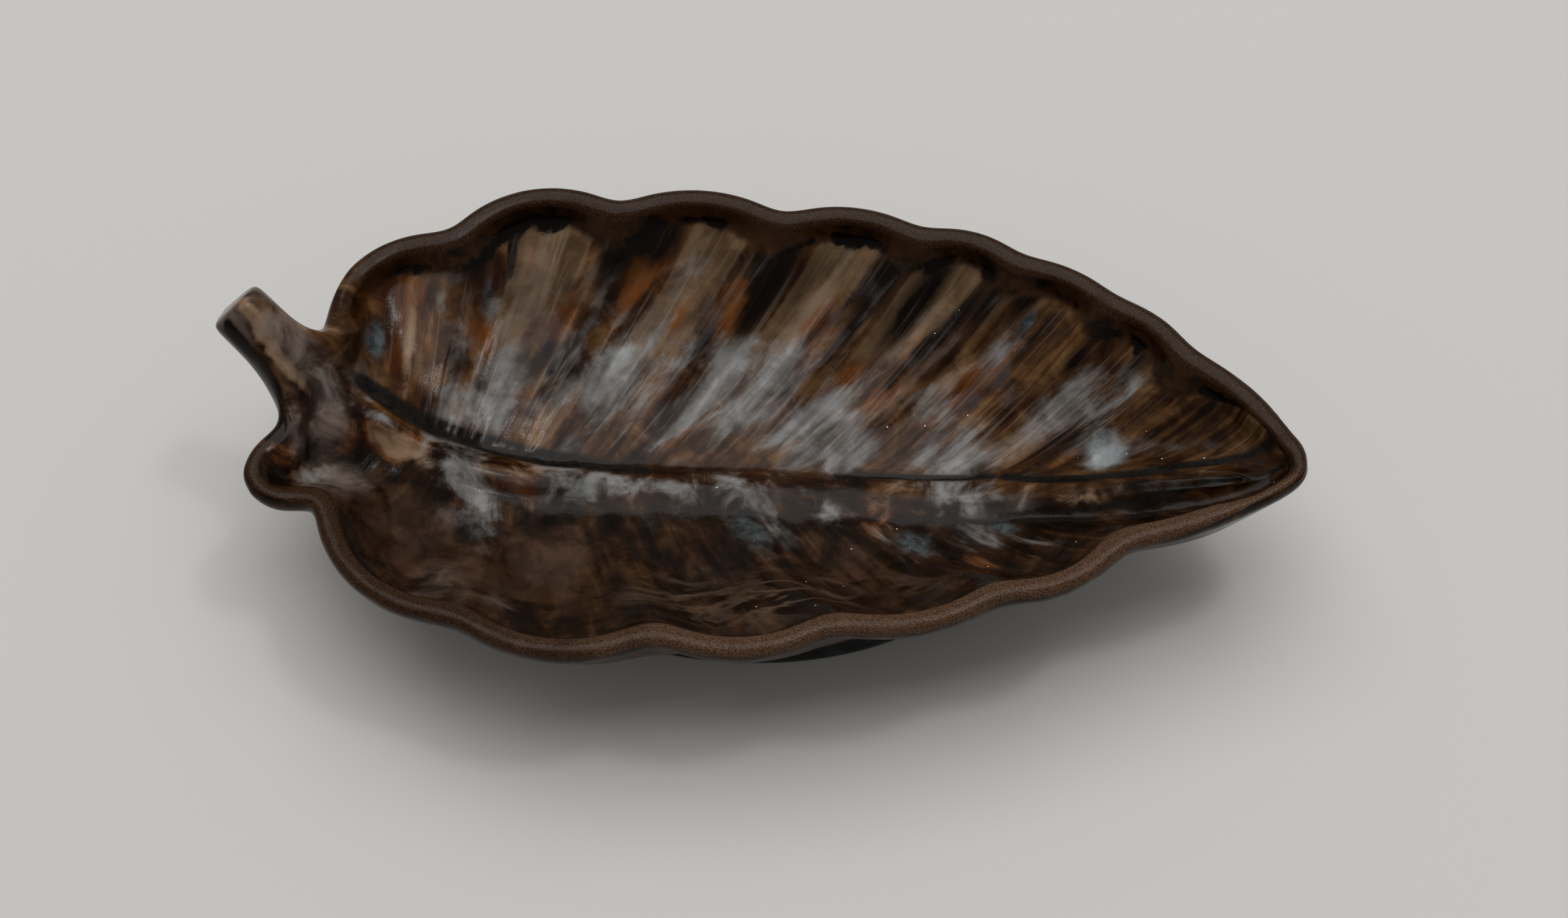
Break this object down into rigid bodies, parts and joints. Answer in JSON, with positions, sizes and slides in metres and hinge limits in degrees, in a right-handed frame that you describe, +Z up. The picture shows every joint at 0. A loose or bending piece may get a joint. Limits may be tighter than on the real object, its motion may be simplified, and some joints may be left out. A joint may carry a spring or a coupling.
{
  "type": "ring dish",
  "caption": "Leaf-shaped glazed dish for rings and trinkets, with scalloped beaded rim, veined bowl and short upturned stem, standing on a low black oval foot ring",
  "frame": {"origin": "on the surface that the dish stands on, below the middle of its bounding box", "axes": "+X from the stem to the tip of the leaf, +Y to the side that the stem turns to, +Z up"},
  "size_m": [0.1638, 0.0884, 0.0399],
  "materials": {
    "leaf_glaze": "glossy reactive glaze, brown with amber and blue-grey streaks",
    "foot_glaze": "glossy black glaze"
  },
  "bodies": {
    "root": {"leaf_bowl": "leaf_glaze", "foot_ring": "foot_glaze"}
  },
  "joints": []
}
